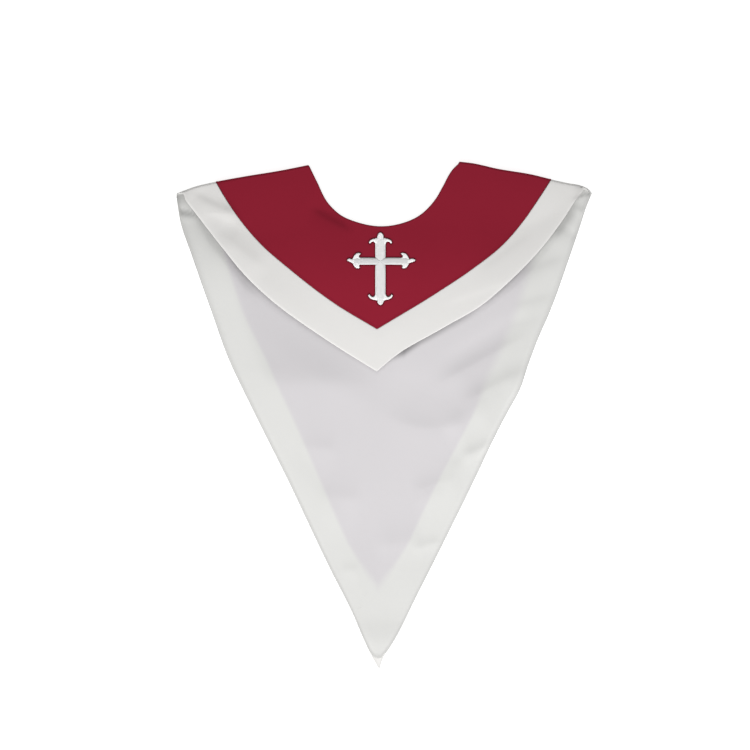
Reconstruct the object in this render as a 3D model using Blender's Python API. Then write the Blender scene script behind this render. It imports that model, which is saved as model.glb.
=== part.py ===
"""Choir stole laid flat on its outer back: a long lined V at the back, a short V in front.

Metres, +Z up. The neck is towards +Y and both points are towards -Y. The origin is under
the middle of the bounding box. Front and back meet in shoulder seams on two rounded folds.
"""

import bmesh
import bpy
import numpy as np

MM = 0.001
NAME = "choir_stole"

# Sewn layers from the surface up, the stole lying flat
GAP = 0.3 * MM
BACK_CLOTH = 1.0 * MM
LINING_CLOTH = 1.0 * MM
FRONT_CLOTH = 1.8 * MM
CROSS_CLOTH = 1.0 * MM
LINING_LOW = BACK_CLOTH + GAP
LINING_TOP = LINING_LOW + LINING_CLOTH
FRONT_LOW = LINING_TOP + GAP
FRONT_TOP = FRONT_LOW + FRONT_CLOTH

# Shoulder folds: outer radius, how far the edges lean along the fold, and the rise that
# fades down the front
FOLD_RADIUS_NECK = 3.4 * MM
FOLD_RADIUS_CORNER = 3.8 * MM
FOLD_STEPS = 4
LEAN_NECK = 1.5 * MM
LEAN_FRONT_CORNER = (8.5 * MM, 11.0 * MM)
LEAN_BACK_CORNER = -2.2 * MM
LEAN_SHARPNESS = 8
FOLD_SPREAD = 0.2
RISE_LENGTH = 85 * MM
RISE_START = 100 * MM
RISE_RUN = 180 * MM
FOLDS_START = RISE_LENGTH / 4

# Outline curves in mm, columns x and y, each from the shoulder or the neck corner on
SHOULDERS = (
    ((-100.7, 333.7), (-138.0, 326.3), (-186.0, 318.4), (-226.0, 311.0), (-250.0, 305.5),
     (-276.4, 295.8)),
    ((100.6, 338.2), (118.0, 336.1), (150.0, 329.0), (198.0, 320.8), (230.0, 312.9),
     (246.0, 309.4), (262.0, 306.4), (271.0, 302.4), (277.0, 296.0)),
)
NECK = (
    (-90.0, 312.5), (-74.0, 282.1), (-58.0, 267.2), (-34.0, 257.0), (-6.0, 252.1), (22.0, 255.6),
    (46.0, 265.7), (70.0, 290.0), (78.0, 304.0), (93.0, 329.6),
)
FRONT_SEAM = (
    ((-212.5, 292.0), (-191.3, 260.0), (-163.7, 228.0), (-126.9, 196.0), (-63.7, 148.0),
     (-9.3, 115.2)),
    ((207.9, 292.0), (186.4, 260.0), (158.8, 228.0), (118.8, 196.0), (71.1, 164.0),
     (-9.3, 115.2)),
)
FRONT_EDGE = (
    ((-264.2, 287.0), (-254.8, 274.4), (-215.8, 223.7), (-185.3, 186.6), (-150.5, 153.7),
     (-85.9, 106.9), (-18.3, 64.1), (-9.6, 58.8)),
    ((257.5, 290.3), (240.2, 263.3), (211.5, 224.8), (167.6, 178.9), (131.5, 147.9),
     (76.4, 115.4), (14.4, 78.8), (-9.6, 58.8)),
)
BACK_SEAM = (
    ((-216.0, 262.0), (-190.0, 167.0), (-146.7, 50.7), (-121.0, -5.0), (-35.3, -197.3),
     (-8.0, -252.0)),
    ((213.0, 262.0), (186.0, 152.0), (120.7, 5.3), (65.3, -101.3), (24.7, -186.7),
     (-8.0, -252.0)),
)
BACK_EDGE = (
    ((-275.2, 277.0), (-272.2, 260.0), (-255.9, 212.0), (-230.3, 140.0), (-207.2, 76.0),
     (-176.8, 12.0), (-129.0, -84.0), (-71.6, -204.0), (-39.4, -268.0), (-28.8, -293.0),
     (-18.4, -317.0), (-7.0, -337.3)),
    ((269.4, 276.0), (264.2, 260.0), (244.7, 204.0), (218.0, 132.0), (206.0, 105.0),
     (192.0, 68.0), (181.2, 36.0), (164.0, 4.0), (146.4, -30.0), (120.8, -84.0),
     (84.6, -158.0), (45.4, -236.0), (3.8, -316.0), (-7.0, -337.3)),
)
# Where the seam meets each shoulder line, from the neck (0) to the corner (1)
SEAM_PLACES = (0.698, 0.681)
BACK_NECK_INSET = 2.0 * MM
LINING_INSET = 0.6 * MM
LINING_POINT_ROUNDING = 12.5 * MM
LINING_POINT_REACH = 104 * MM
TUCK_SHARE = 1 / 3

# Folds in mm, columns x and y of the left end, x and y of the right end, how far the middle
# bows towards the neck, height, and lengths over which the fold falls off towards the neck and
# towards the point. A negative height is a trough.
LINING_FOLDS = {
    "under the left edge": (-205, 54, 35, 40, 0, 1.6, 60, 70),
    "upper right": (82, 28, 198, 136, 0, 2.0, 16, 45),
    "middle right": (98, 8, 196, 62, 3, 1.5, 12, 45),
    "crescent": (-40, 22, 140, 14, -36, 1.6, 20, 60),
    "crescent end": (70, -16, 138, 26, -6, 0.8, 14, 40),
    "left middle": (-118, -42, -56, -46, 0, 0.7, 12, 24),
    "left lower": (-92, -116, -22, -122, 0, 0.9, 22, 30),
    "right low": (30, -106, 104, -80, 0, 0.8, 10, 20),
    "low middle": (-18, -176, 56, -164, 0, 0.8, 20, 22),
}
FRONT_FOLDS = {
    "left corner ridge": (-256, 288, -190, 262, 0, 1.5, 8, 12),
    "left band ridge": (-222, 246, -152, 190, 0, 1.1, 14, 16),
    "red left dent": (-108, 282, -48, 256, 0, -0.7, 12, 12),
}
FOLD_ROUNDNESS = 6 * MM
EDGE_LIFT_POINT = 0.3 * MM
EDGE_LIFT_CORNER = 2.6 * MM
EDGE_LIFT_WIDTH = 30 * MM
EDGE_LIFT_START = 20 * MM
EDGE_LIFT_RUN = 200 * MM
FRONT_EDGE_SLOPE = 0.78
REVEAL = 50 * MM
BORDER = 10 * MM

# The embroidered cross in mm. Each arm has a direction, half the bar's width, the place where
# its hooks leave it, its length, half its bud's width, how far the bud stands to the left of
# the bar's middle, and its left and right ends.
CROSS_CENTRE = (-4.7, 205.6)
CROSS_ARMS = {
    "right": ((1, 0), 4.6, 36.0, 46.2, 1.9, 1.3, ("upper hook", "lower hook")),
    "top": ((0, 1), 6.9, 29.9, 38.7, 4.4, 0.0, ("long hook", "long hook")),
    "left": ((-1, 0), 4.6, 35.0, 44.2, 1.9, -1.7, ("lower hook", "upper hook")),
    "bottom": ((0, -1), 6.9, 50.7, 58.4, 4.4, 0.0, ("long hook", "long hook")),
}
# One side of an arm's end in mm, columns along (from the hooks' start) and across (from the
# bar's side): up the hook's inner side to its tip and back down its outer side to the bud
ARM_ENDS = {
    "long hook": (
        (-7.7, 0.0), (-5.0, 0.9), (-3.3, 2.8), (-3.4, 5.0), (-5.6, 7.4), (-7.0, 8.3),
        (-5.0, 9.8), (-1.6, 7.8), (0.2, 4.2), (0.9, 0.6), (1.8, -2.5),
    ),
    "upper hook": (
        (-8.0, 0.0), (-6.4, 1.2), (-6.4, 3.2), (-9.0, 5.6), (-6.2, 6.8), (-3.0, 6.2),
        (-0.4, 3.6), (1.2, 0.2), (2.4, -1.9),
    ),
    "lower hook": (
        (-8.0, 0.0), (-6.6, 0.8), (-6.2, 2.2), (-7.4, 3.9), (-5.6, 4.9), (-3.0, 4.7),
        (-0.4, 2.6), (1.2, -0.2), (2.4, -3.4),
    ),
}
BUD_TURNS = np.radians((90, 60, 30))
BUD_ROUNDNESS = 1.3
CROSS_BEVEL = 0.3 * MM

# Rows from shoulder to point, how much closer they stand at the point, and places across
STATIONS = 36
CROWDING = 0.4
CURVE_STEPS = 600
CENTRE_PLACES = np.linspace(0, 1, 9)
BAND_PLACES = np.linspace(0, 1, 7)
LINING_PLACES = np.append(np.linspace(0, 0.28, 4), np.linspace(0.28, 1, 20)[1:])
BAND_GAP = 0.0022
LINING_END = 0.995
COLOURS = {
    "red": (0.242, 0.016, 0.034),
    "white": (0.70, 0.69, 0.67),
    "lining": (0.72, 0.71, 0.70),
    "thread": (0.78, 0.77, 0.75),
}


def fade(value):
    """A smooth step from 0 to 1 as the value goes from 0 to 1."""
    held = np.clip(value, 0.0, 1.0)
    return held * held * (3 - 2 * held)


def curve_through(points, places):
    """Points on a smooth curve through the given ones, at fractions of its length.

    Each stretch is a cubic whose end slopes are those of the points around it.
    """
    points = np.asarray(points)
    knots = np.append(0.0, np.cumsum(np.linalg.norm(np.diff(points, axis=0), axis=1)))
    slopes = np.gradient(points, knots, axis=0)
    along = np.linspace(0.0, knots[-1], CURVE_STEPS)
    first = np.clip(np.searchsorted(knots, along, side="right") - 1, 0, len(knots) - 2)
    span = np.diff(knots)[first][:, None]
    part = (along - knots[first])[:, None] / span
    line = (
        points[first] * (2 * part**3 - 3 * part**2 + 1)
        + slopes[first] * span * (part**3 - 2 * part**2 + part)
        + points[first + 1] * (3 * part**2 - 2 * part**3)
        + slopes[first + 1] * span * (part**3 - part**2)
    )
    length = np.append(0.0, np.cumsum(np.linalg.norm(np.diff(line, axis=0), axis=1)))
    places = np.asarray(places) * length[-1]
    return np.stack([np.interp(places, length, line[:, axis]) for axis in (0, 1)], axis=-1)


def offset(curve, distance):
    """The curve moved to its right-hand side, with mitred corners."""
    step = np.diff(curve, axis=0)
    normal = np.stack([step[:, 1], -step[:, 0]], axis=-1)
    normal /= np.linalg.norm(normal, axis=1)[:, None]
    before = np.vstack([normal[:1], normal])
    after = np.vstack([normal, normal[-1:]])
    share = 1 + np.sum(before * after, axis=1)
    return curve + (before + after) / share[:, None] * np.reshape(distance, (-1, 1))


def shoulder(side, place):
    """Point, outward direction and inward normal on a shoulder line, place 0 neck to 1 corner."""
    rail = np.array(SHOULDERS[side]) * MM
    point = curve_through(rail, place)
    ahead = curve_through(rail, np.asarray(place) + 0.01)
    behind = curve_through(rail, np.asarray(place) - 0.01)
    along = ahead - behind
    along /= np.linalg.norm(along, axis=-1)[..., None]
    turn = -1 if side == 0 else 1
    inward = np.stack([along[..., 1], -along[..., 0]], axis=-1) * turn
    return point, along, inward


def fold_radius(place):
    """Outer radius of the shoulder fold."""
    return FOLD_RADIUS_NECK + (FOLD_RADIUS_CORNER - FOLD_RADIUS_NECK) * place


def fold_rows(side, places, depth, on_front):
    """Rows of a quarter-round shoulder fold, from the seam to where the panel lies flat.

    A point at a depth below the outer face turns about the fold's axis, and its edge leans
    along the fold in proportion to the turn.
    """
    point, along, inward = shoulder(side, places)
    radius = fold_radius(places)
    corner = LEAN_FRONT_CORNER[side] if on_front else LEAN_BACK_CORNER
    lean = LEAN_NECK + (corner - LEAN_NECK) * places**LEAN_SHARPNESS
    rows = []
    for turn in np.linspace(0, np.pi / 2, FOLD_STEPS + 1):
        reach = radius - (radius - depth) * np.cos(turn)
        plan = point + inward * reach[:, None] - along * (lean * turn / (np.pi / 2))[:, None]
        swing = (radius - depth) * np.sin(turn)
        height = radius + GAP + swing if on_front else radius - swing
        rows.append(np.column_stack([plan, height]))
    return np.array(rows)


def edge_curve(table, places, on_front):
    """A panel's edge from the left shoulder round the point to the right shoulder."""
    halves = []
    for side in (0, 1):
        start = fold_rows(side, np.array([places[side]]), 0.0, on_front)[-1, 0, :2]
        halves.append(curve_through(np.vstack([start, np.array(table[side]) * MM]), spacing()))
    return np.vstack([halves[0], halves[1][-2::-1]])


def neck_curve(on_front):
    """The round neckline from shoulder to shoulder."""
    ends = [fold_rows(side, np.array([0.0]), 0.0, on_front)[-1, 0, :2] for side in (0, 1)]
    points = np.vstack([ends[0], np.array(NECK) * MM, ends[1]])
    places = np.concatenate([spacing() / 2, 1 - spacing()[-2::-1] / 2])
    return curve_through(points, places)


def spacing():
    """Places of the stations on one half, from shoulder to point, closer towards the point."""
    even = np.linspace(0, 1, STATIONS + 1)
    return even * (1 + CROWDING - CROWDING * even)


def relief(x, y, folds):
    """Sum of the folds: each is a rounded crease along a bowed line that fades at both ends.

    Across it, its height falls as e to the power of minus the distance over its fall-off.
    """
    total = np.zeros_like(x)
    for row in folds.values():
        x0, y0, x1, y1, bow, height, above, below = (value * MM for value in row)
        run_x, run_y = x1 - x0, y1 - y0
        length = np.hypot(run_x, run_y)
        place = np.clip(((x - x0) * run_x + (y - y0) * run_y) / length**2, 0, 1)
        side = ((y - y0) * run_x - (x - x0) * run_y) / length - bow * 4 * place * (1 - place)
        away = np.hypot(side, FOLD_ROUNDNESS) - FOLD_ROUNDNESS
        ends = fade(3 * np.minimum(place, 1 - place))
        total += height * ends * np.exp(-away / np.where(side > 0, above, below))
    return total


def below_front(x, y):
    """How far a point lies outside the front's lower edge, negative under the front."""
    edge = edge_curve(FRONT_EDGE, (1.0, 1.0), True)
    return (np.interp(x, edge[:, 0], edge[:, 1]) - y) * FRONT_EDGE_SLOPE


def lining_wave(x, y):
    """Height of the loose lining: its folds, held down by the front and along the border."""
    edge = edge_curve(BACK_EDGE, (1.0, 1.0), False)
    left, right = edge[: STATIONS + 1], edge[STATIONS:]
    from_left = x - np.interp(y, left[::-1, 1], left[::-1, 0])
    from_right = np.interp(y, right[:, 1], right[:, 0]) - x
    border = fade(np.minimum(from_left, from_right) / BORDER)
    return relief(x, y, LINING_FOLDS) * border * fade(below_front(x, y) / REVEAL)


def front_lift(x, y):
    """Height of the front above where it would lie flat.

    The shoulder folds' height fades down the panel, the lower edge stands up towards the
    corners, and the folds are added.
    """
    rails = [curve_through(np.array(rail) * MM, np.linspace(0, 1, 20)) for rail in SHOULDERS]
    line = np.vstack([rails[0][::-1], rails[1]])
    place = fade((np.abs(x) - RISE_START) / RISE_RUN)
    top = 2 * fold_radius(place) + GAP - FRONT_TOP
    down = np.interp(x, line[:, 0], line[:, 1]) - y - fold_radius(place)
    rise = top * (1 - fade(down / RISE_LENGTH))
    outward = np.clip((np.abs(x) - EDGE_LIFT_START) / EDGE_LIFT_RUN, 0, 1)
    stand = EDGE_LIFT_POINT + (EDGE_LIFT_CORNER - EDGE_LIFT_POINT) * outward
    edge = stand * np.exp(-((below_front(x, y) / EDGE_LIFT_WIDTH) ** 2))
    free = fade(down / FOLDS_START)
    lift = (rise**4 + (edge * free) ** 4) ** 0.25 + relief(x, y, FRONT_FOLDS) * free
    return np.clip(lift, 0.0, top.max())


def surface(inner, outer, places, columns, depth, kind):
    """Points of one face of a strip between two edges, at a depth below its outer face.

    Rows run from the left shoulder seam over the fold, round the point and up to the right
    shoulder seam. The flat rows are straight between the edges, and near the shoulders they
    bend to the fold's own line.
    """
    on_front = kind == "front"
    spread = columns[None, :, None]
    plan = inner[:, None] * (1 - spread) + outer[:, None] * spread
    ends = []
    for side in (0, 1):
        start, end = places[side]
        along = start + (end - start) * columns
        rows = fold_rows(side, along, depth, on_front)
        last = 0 if side == 0 else -1
        near = (1 - fade(spacing() / FOLD_SPREAD))[:, None, None]
        bend = (rows[-1, :, :2] - plan[last])[None] * near
        if side == 0:
            plan[: STATIONS + 1] += bend
        else:
            plan[STATIONS:] += bend[::-1]
        ends.append(rows)
    x, y = plan[..., 0], plan[..., 1]
    if on_front:
        height = FRONT_TOP + front_lift(x, y) - depth
    elif kind == "lining":
        height = depth + lining_wave(x, y)
    else:
        height = np.full_like(x, depth)
    flat = np.dstack([plan, height])[1:-1]
    return np.concatenate([ends[0], flat, ends[1][::-1]])


def material(name, colour, roughness):
    """A plain cloth finish."""
    made = bpy.data.materials.new(name)
    made.use_nodes = True
    shader = made.node_tree.nodes["Principled BSDF"]
    shader.inputs["Base Color"].default_value = (*colour, 1.0)
    shader.inputs["Roughness"].default_value = roughness
    shader.inputs["Metallic"].default_value = 0.0
    return made


def add_wall(name, upper, lower, finish):
    """A closed cloth wall between two grids of points of the same shape."""
    rows, columns = upper.shape[:2]
    count = rows * columns
    index = np.arange(count).reshape(rows, columns)
    top = np.stack([index[:-1, :-1], index[:-1, 1:], index[1:, 1:], index[1:, :-1]], axis=-1)
    around = np.concatenate([index[0, :-1], index[:-1, -1], index[-1, :0:-1], index[:0:-1, 0]])
    ahead = np.roll(around, -1)
    rim = np.stack([ahead, around, around + count, ahead + count], axis=-1)
    faces = np.concatenate([top.reshape(-1, 4), top.reshape(-1, 4)[:, ::-1] + count, rim])
    points = np.concatenate([upper.reshape(-1, 3), lower.reshape(-1, 3)])
    mesh = bpy.data.meshes.new(name)
    mesh.from_pydata(points.tolist(), [], faces.tolist())
    mesh.validate()
    mesh.shade_smooth()
    mesh.set_sharp_from_angle(angle=0.7)
    mesh.materials.append(finish)
    made = bpy.data.objects.new(name, mesh)
    bpy.data.collections[NAME].objects.link(made)
    return made


def add_panel(name, edges, places, columns, depths, kind, finish):
    """A wall between two edges; depths are those of its upper and lower faces."""
    faces = [surface(*edges, places, columns, depth, kind) for depth in depths]
    return add_wall(name, *faces, finish)


def lining_edge(back_edge):
    """The lining's edge: just inside the border, its point rounded off as a hyperbola."""
    edge = offset(back_edge, -LINING_INSET)
    point = edge[STATIONS, 1]
    rounded = edge.copy()
    rounded[:, 1] = point + np.hypot(edge[:, 1] - point, LINING_POINT_ROUNDING)
    near = 1 - fade((edge[:, 1] - point) / LINING_POINT_REACH)
    return edge + (rounded - edge) * near[:, None]


def arm_side(half_width, start, length, bud, shift, end):
    """One side of an arm from the bar to the bud's round tip, as (along, across) points."""
    side = [(start + along, half_width + across) for along, across in ARM_ENDS[end]]
    root = length - bud * BUD_ROUNDNESS
    return side + [
        (root + bud * BUD_ROUNDNESS * np.cos(turn), bud * np.sin(turn) + shift)
        for turn in BUD_TURNS
    ]


def cross_outline():
    """The cross's outline, arm by arm: up each arm's right side and down its left side."""
    points = []
    for (along_x, along_y), half_width, start, length, bud, shift, ends in CROSS_ARMS.values():
        along = np.array([along_x, along_y])
        left = np.array([-along_y, along_x])
        left_side = arm_side(half_width, start, length, bud, shift, ends[0])
        right_side = arm_side(half_width, start, length, bud, -shift, ends[1])
        profile = [(a, -b) for a, b in right_side] + [(length, shift)] + left_side[::-1]
        points += [along * a + left * b for a, b in profile]
        corner = CROSS_ARMS["top" if along_x else "right"][1]
        points.append(along * corner + left * half_width)
    return (np.array(points) + CROSS_CENTRE) * MM


def add_cross(finish):
    """The embroidered cross: a flat outline with rounded edges, just above the red panel."""
    outline = cross_outline()
    curve = bpy.data.curves.new("cross_outline", "CURVE")
    curve.dimensions = "2D"
    curve.fill_mode = "BOTH"
    curve.extrude = CROSS_CLOTH / 2 - CROSS_BEVEL
    curve.bevel_depth = CROSS_BEVEL
    curve.bevel_resolution = 1
    curve.offset = -CROSS_BEVEL
    spline = curve.splines.new("POLY")
    spline.points.add(len(outline) - 1)
    for point, (x, y) in zip(spline.points, outline):
        point.co = (x, y, 0.0, 1.0)
    spline.use_cyclic_u = True
    guide = bpy.data.objects.new("cross_outline", curve)
    bpy.context.scene.collection.objects.link(guide)
    bpy.context.view_layer.update()
    mesh = bpy.data.meshes.new_from_object(guide.evaluated_get(bpy.context.evaluated_depsgraph_get()))
    bpy.data.objects.remove(guide)
    shape = bmesh.new()
    shape.from_mesh(mesh)
    bmesh.ops.remove_doubles(shape, verts=shape.verts, dist=0.01 * MM)
    shape.to_mesh(mesh)
    shape.free()
    mesh.materials.clear()
    mesh.materials.append(finish)
    made = bpy.data.objects.new("cross", mesh)
    made.location = (0.0, 0.0, FRONT_TOP + GAP + CROSS_CLOTH / 2)
    bpy.data.collections[NAME].objects.link(made)


def build():
    """Make every piece."""
    for old in list(bpy.data.objects):
        bpy.data.objects.remove(old)
    bpy.context.scene.collection.children.link(bpy.data.collections.new(NAME))
    red = material("red_cloth", COLOURS["red"], 0.7)
    white = material("white_cloth", COLOURS["white"], 0.6)
    plain = material("lining_cloth", COLOURS["lining"], 0.55)
    thread = material("embroidery", COLOURS["thread"], 0.45)

    front_neck = neck_curve(True)
    front_seam = edge_curve(FRONT_SEAM, SEAM_PLACES, True)
    front_edge = edge_curve(FRONT_EDGE, (1.0, 1.0), True)
    tuck = fade(np.concatenate([spacing(), spacing()[-2::-1]]) / TUCK_SHARE) * BACK_NECK_INSET
    back_neck = offset(neck_curve(False), tuck)
    back_seam = edge_curve(BACK_SEAM, SEAM_PLACES, False)
    back_edge = edge_curve(BACK_EDGE, (1.0, 1.0), False)

    front = (0.0, FRONT_CLOTH)
    back = (BACK_CLOTH, 0.0)
    lining = (LINING_TOP, LINING_LOW)
    centre = [(0.0, place) for place in SEAM_PLACES]
    band = [(place + BAND_GAP, 1.0) for place in SEAM_PLACES]
    whole = [(0.0, LINING_END)] * 2
    add_panel("front_centre", (front_neck, front_seam), centre, CENTRE_PLACES, front, "front", red)
    add_panel("front_band", (offset(front_seam, GAP), front_edge), band, BAND_PLACES, front,
              "front", white)
    add_panel("back_centre", (back_neck, back_seam), centre, CENTRE_PLACES, back, "back", red)
    add_panel("back_band", (offset(back_seam, GAP), back_edge), band, BAND_PLACES, back,
              "back", white)
    add_panel("back_lining", (back_neck, lining_edge(back_edge)), whole, LINING_PLACES, lining,
              "lining", plain)
    add_cross(thread)


build()
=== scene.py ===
"""Looks of the choir stole, laid flat face up: fine cloth panels, seams, folds and the
embroidered cross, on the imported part's own frame."""

import bpy
import numpy as np
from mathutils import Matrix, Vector


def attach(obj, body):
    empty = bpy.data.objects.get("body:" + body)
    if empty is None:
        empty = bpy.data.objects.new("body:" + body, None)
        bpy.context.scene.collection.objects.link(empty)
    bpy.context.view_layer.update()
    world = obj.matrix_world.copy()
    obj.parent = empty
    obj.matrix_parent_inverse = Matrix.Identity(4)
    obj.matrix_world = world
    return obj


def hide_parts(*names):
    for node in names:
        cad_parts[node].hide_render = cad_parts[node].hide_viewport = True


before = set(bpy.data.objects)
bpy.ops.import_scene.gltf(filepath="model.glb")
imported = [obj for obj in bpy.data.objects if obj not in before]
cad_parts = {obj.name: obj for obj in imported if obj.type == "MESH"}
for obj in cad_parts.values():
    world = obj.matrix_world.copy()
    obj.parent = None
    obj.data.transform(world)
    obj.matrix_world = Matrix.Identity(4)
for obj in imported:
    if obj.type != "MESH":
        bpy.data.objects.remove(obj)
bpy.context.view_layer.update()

MM = 0.001

# Sewn layers from the surface up, as the solids have them
GAP = 0.3 * MM
BACK_CLOTH = 1.0 * MM
LINING_LOW = 1.3 * MM
LINING_TOP = 2.3 * MM
FRONT_LOW = 2.6 * MM
FRONT_CLOTH = 1.8 * MM
FRONT_TOP = FRONT_LOW + FRONT_CLOTH

# Shoulder folds
FOLD_RADIUS_NECK = 3.4 * MM
FOLD_RADIUS_CORNER = 3.8 * MM
FOLD_STEPS = 9
LEAN_NECK = 1.5 * MM
LEAN_FRONT_CORNER = (8.5 * MM, 11.0 * MM)
LEAN_BACK_CORNER = -2.2 * MM
LEAN_SHARPNESS = 8
FOLD_SPREAD = 0.2
RISE_LENGTH = 85 * MM
RISE_START = 100 * MM
RISE_RUN = 180 * MM
FOLDS_START = RISE_LENGTH / 4
LIFT_POWER = 4
RAIL_STEPS = 60
SLOPE_SPAN = 0.01

# Outline curves in mm, columns x and y, each from the shoulder or the neck corner on
SHOULDERS = (
    ((-100.7, 333.7), (-138.0, 326.3), (-186.0, 318.4), (-226.0, 311.0), (-250.0, 305.5),
     (-276.4, 295.8)),
    ((100.6, 338.2), (118.0, 336.1), (150.0, 329.0), (198.0, 320.8), (230.0, 312.9),
     (246.0, 309.4), (262.0, 306.4), (271.0, 302.4), (277.0, 296.0)),
)
NECK = (
    (-90.0, 312.5), (-74.0, 282.1), (-58.0, 267.2), (-34.0, 257.0), (-6.0, 252.1), (22.0, 255.6),
    (46.0, 265.7), (70.0, 290.0), (78.0, 304.0), (93.0, 329.6),
)
FRONT_SEAM = (
    ((-212.5, 292.0), (-191.3, 260.0), (-163.7, 228.0), (-126.9, 196.0), (-63.7, 148.0),
     (-9.3, 115.2)),
    ((207.9, 292.0), (186.4, 260.0), (158.8, 228.0), (118.8, 196.0), (71.1, 164.0),
     (-9.3, 115.2)),
)
FRONT_EDGE = (
    ((-264.2, 287.0), (-254.8, 274.4), (-215.8, 223.7), (-185.3, 186.6), (-150.5, 153.7),
     (-85.9, 106.9), (-18.3, 64.1), (-9.6, 58.8)),
    ((257.5, 290.3), (240.2, 263.3), (211.5, 224.8), (167.6, 178.9), (131.5, 147.9),
     (76.4, 115.4), (14.4, 78.8), (-9.6, 58.8)),
)
BACK_SEAM = (
    ((-216.0, 262.0), (-190.0, 167.0), (-146.7, 50.7), (-121.0, -5.0), (-35.3, -197.3),
     (-8.0, -252.0)),
    ((213.0, 262.0), (186.0, 152.0), (120.7, 5.3), (65.3, -101.3), (24.7, -186.7),
     (-8.0, -252.0)),
)
BACK_EDGE = (
    ((-275.2, 277.0), (-272.2, 260.0), (-255.9, 212.0), (-230.3, 140.0), (-207.2, 76.0),
     (-176.8, 12.0), (-129.0, -84.0), (-71.9, -204.2), (-39.8, -268.2), (-29.3, -293.2),
     (-18.3, -317.2), (-6.6, -337.6)),
    ((269.4, 276.0), (264.2, 260.0), (244.7, 204.0), (218.0, 132.0), (206.0, 105.0),
     (192.0, 68.0), (181.2, 36.0), (164.0, 4.0), (146.4, -30.0), (120.8, -84.0),
     (84.6, -158.0), (45.4, -236.0), (4.6, -313.6), (-0.8, -321.2), (-6.6, -337.6)),
)
# Where the seams meet the shoulders, gaps, and small moves of edges outwards or inwards
SEAM_PLACES = (0.698, 0.681)
BAND_GAP = 0.0022
SEAM_GAP = 0.12 * MM
BACK_NECK_INSET = 2.0 * MM
EDGE_OUT = (0.4 * MM, 0.65 * MM)
NECK_OUT = 0.4 * MM
SHOULDER_OUT = 0.35 * MM
SEAM_IN = 0.35 * MM
LINING_INSET = 0.6 * MM
LINING_CLEARANCE = 0.1 * MM
LINING_NECK_INSET = 0.5 * MM
LINING_POINT_ROUNDING = 13.5 * MM
LINING_POINT_REACH = 104 * MM
LINING_POINT_POWER = 3.5
TUCK_SHARE = 1 / 3

# Where a piece starts and ends along each shoulder, from 0 at the neck to 1 at the corner
CENTRE_PLACES = [(0.0, place) for place in SEAM_PLACES]
BAND_PLACES = [(place + BAND_GAP, 1.0) for place in SEAM_PLACES]
LINING_PLACES = [(0.0, 0.995)] * 2

# Grids of the cloths: fixed steps in mm from the inner and the outer edge, and the number of
# even columns between them
FRONT_INNER = (0.9, 1.3, 1.8, 2.5, 3.5, 5.0, 7.0)
FRONT_OUTER = (0.9, 1.3, 1.8, 2.5, 3.2, 4.0, 5.0, 6.5, 8.5)
BACK_STEPS = (0.5, 1.0, 2.0)
FRONT_RED_GRID = (FRONT_INNER, FRONT_INNER, 74)
FRONT_WHITE_GRID = (FRONT_INNER, FRONT_OUTER, 26)
BACK_RED_GRID = (BACK_STEPS, BACK_STEPS, 40)
BACK_WHITE_GRID = (BACK_STEPS, BACK_STEPS, 16)
LINING_CENTRE_COLUMNS = 125
LINING_BORDER_GRID = ((1.0, 3.0, 5.0, 8.0), (0.7, 1.2, 1.8, 2.4, 3.0, 3.8, 5.0, 8.0), 12)
RIM_TURNS = np.radians((60, 30, 0, -30, -60))
BOTTOM_COLUMNS = 20
STATIONS = 230
CROWDING = 0.4
CURVE_STEPS = 4000
TINY = 1e-12

# Sewn edges: a ridge's height, where it ends and over what run it falls; a dip's depth and
# reach. The white edge rolls down by the first depth at the point, and by both at the corners.
RED_SEAM_RIDGE = (0.3 * MM, 3.2 * MM, 2.3 * MM)
RED_NECK_DIP = (0.2 * MM, 1.2 * MM)
WHITE_SEAM_DIP = (0.15 * MM, 1.4 * MM)
WHITE_ROLL_DEPTHS = (0.12 * MM, 0.16 * MM)
WHITE_ROLL = (2.9 * MM, 2.4 * MM)
LINING_HEM = (0.35 * MM, 5.6 * MM, 4.8 * MM)

# Folds in mm, columns x and y of the left end, x and y of the right end, how far the middle
# bows towards the neck, height, and lengths over which the fold falls off towards the neck and
# towards the point. A negative height is a trough.
LINING_FOLDS = np.array((
    (-205, 58, 35, 44, 0, 1.6, 60, 70),
    (56, 31, 206, 115, 0, 1.3, 9, 40),
    (98, 8, 196, 62, 3, 1.5, 12, 45),
    (-12, 6, 142, 8, -25, 1.3, 16, 50),
    (70, -16, 138, 26, -6, 0.8, 14, 40),
    (98, -58, 154, -37, 1, 1.0, 5, 8),
    (-118, -42, -56, -46, 0, 0.7, 12, 24),
    (-92, -106, -22, -114, 0, 1.0, 18, 30),
    (30, -106, 104, -80, 0, 1.0, 10, 20),
    (-18, -176, 56, -164, 0, 0.8, 20, 22),
    (34, -181, 80, -167, 1, 0.6, 4, 6),
    (-60, -208, -30, -206, 0, 0.4, 4, 6),
    (-34, -300, 18, -302, 0, 0.4, 16, 12),
))
FRONT_FOLDS = np.array((
    (-256, 288, -190, 262, 0, 1.8, 8, 12),
    (-222, 246, -152, 190, 0, 1.1, 14, 16),
    (-108, 282, -48, 256, 0, -0.7, 12, 12),
))
CORNER_FOLDS = np.array((
    (-290, 276, -238, 270, 0, -1.6, 3.5, 3.5),
    (-290, 268, -240, 264, 0, 1.2, 3.5, 5),
    (246, 280, 282, 262, 0, 1.2, 4, 6),
    (232, 258, 262, 234, 0, -0.6, 5, 6),
))
FOLD_ROUNDNESS = 6 * MM
CORNER_FOLD_ROUNDNESS = 3 * MM
FOLD_END_FADE = 3
CORNER_FOLDS_START = 5 * MM
EDGE_LIFT_POINT = 0.3 * MM
EDGE_LIFT_CORNER = 2.6 * MM
EDGE_LIFT_WIDTH = 30 * MM
EDGE_LIFT_START = 20 * MM
EDGE_LIFT_RUN = 200 * MM
FRONT_EDGE_SLOPE = 0.78
REVEAL = 50 * MM
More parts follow.
